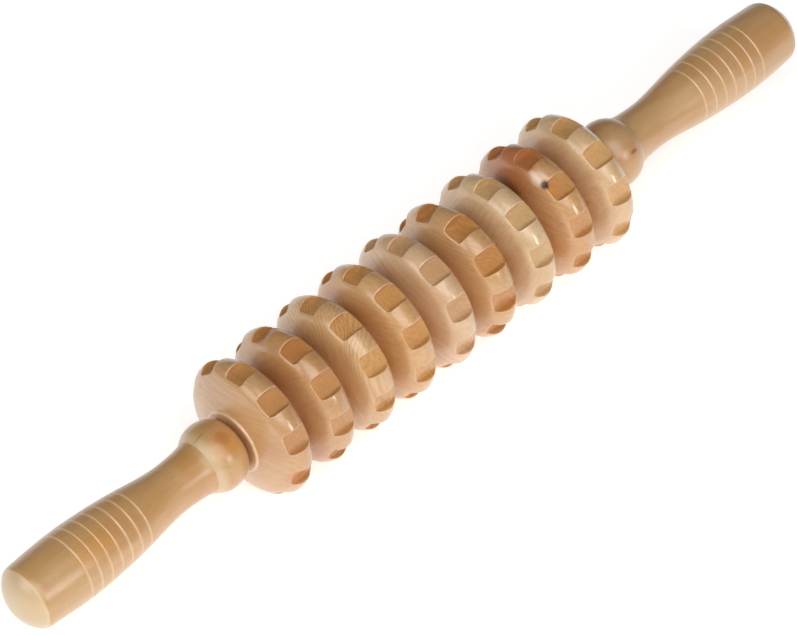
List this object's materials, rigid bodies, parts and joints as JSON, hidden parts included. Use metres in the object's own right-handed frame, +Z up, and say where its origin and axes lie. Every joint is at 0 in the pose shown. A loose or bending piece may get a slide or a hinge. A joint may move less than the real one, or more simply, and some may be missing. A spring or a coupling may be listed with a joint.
{
  "type": "massage roller",
  "caption": "Hand-held wooden massage roller: notched wheels that spin freely on a dowel axle between two turned handles with grip grooves.",
  "frame": {"origin": "centre of the roller's bounding box, on the axle's axis midway between the two handle ends", "axes": "+X along the axle towards handle_right, +Z up with the roller lying on its wheels, +Y level across it"},
  "size_m": [0.424, 0.0596, 0.0596],
  "materials": {
    "handle_left_wood": "satin clear lacquer over pale honey wood",
    "handle_right_wood": "satin clear lacquer over pale honey wood",
    "axle_wood": "bare wood, sealed",
    "wheel_1_wood": "satin clear lacquer over pale honey wood",
    "wheel_2_wood": "satin clear lacquer over pale honey wood",
    "wheel_3_wood": "satin clear lacquer over pale honey wood",
    "wheel_4_wood": "satin clear lacquer over pale honey wood",
    "wheel_5_wood": "satin clear lacquer over pale honey wood",
    "wheel_6_wood": "satin clear lacquer over pale honey wood",
    "wheel_7_wood": "satin clear lacquer over pale honey wood",
    "wheel_8_wood": "satin clear lacquer over pale honey wood",
    "wheel_9_wood": "satin clear lacquer over pale honey wood"
  },
  "bodies": {
    "handles_and_axle": {"handle_left": "handle_left_wood", "handle_right": "handle_right_wood", "axle": "axle_wood"},
    "wheel_1_body": {"wheel_1": "wheel_1_wood"},
    "wheel_2_body": {"wheel_2": "wheel_2_wood"},
    "wheel_3_body": {"wheel_3": "wheel_3_wood"},
    "wheel_4_body": {"wheel_4": "wheel_4_wood"},
    "wheel_5_body": {"wheel_5": "wheel_5_wood"},
    "wheel_6_body": {"wheel_6": "wheel_6_wood"},
    "wheel_7_body": {"wheel_7": "wheel_7_wood"},
    "wheel_8_body": {"wheel_8": "wheel_8_wood"},
    "wheel_9_body": {"wheel_9": "wheel_9_wood"}
  },
  "joints": [
    {"name": "wheel_1_spin", "type": "hinge", "parent": "handles_and_axle", "child": "wheel_1_body", "pos_m": [-0.0892, 0, 0], "axis": [1, 0, 0], "continuous": true},
    {"name": "wheel_2_spin", "type": "hinge", "parent": "handles_and_axle", "child": "wheel_2_body", "pos_m": [-0.0669, 0, 0], "axis": [1, 0, 0], "continuous": true},
    {"name": "wheel_3_spin", "type": "hinge", "parent": "handles_and_axle", "child": "wheel_3_body", "pos_m": [-0.0446, 0, 0], "axis": [1, 0, 0], "continuous": true},
    {"name": "wheel_4_spin", "type": "hinge", "parent": "handles_and_axle", "child": "wheel_4_body", "pos_m": [-0.0223, 0, 0], "axis": [1, 0, 0], "continuous": true},
    {"name": "wheel_5_spin", "type": "hinge", "parent": "handles_and_axle", "child": "wheel_5_body", "pos_m": [0, 0, 0], "axis": [1, 0, 0], "continuous": true},
    {"name": "wheel_6_spin", "type": "hinge", "parent": "handles_and_axle", "child": "wheel_6_body", "pos_m": [0.0223, 0, 0], "axis": [1, 0, 0], "continuous": true},
    {"name": "wheel_7_spin", "type": "hinge", "parent": "handles_and_axle", "child": "wheel_7_body", "pos_m": [0.0446, 0, 0], "axis": [1, 0, 0], "continuous": true},
    {"name": "wheel_8_spin", "type": "hinge", "parent": "handles_and_axle", "child": "wheel_8_body", "pos_m": [0.0669, 0, 0], "axis": [1, 0, 0], "continuous": true},
    {"name": "wheel_9_spin", "type": "hinge", "parent": "handles_and_axle", "child": "wheel_9_body", "pos_m": [0.0892, 0, 0], "axis": [1, 0, 0], "continuous": true}
  ]
}
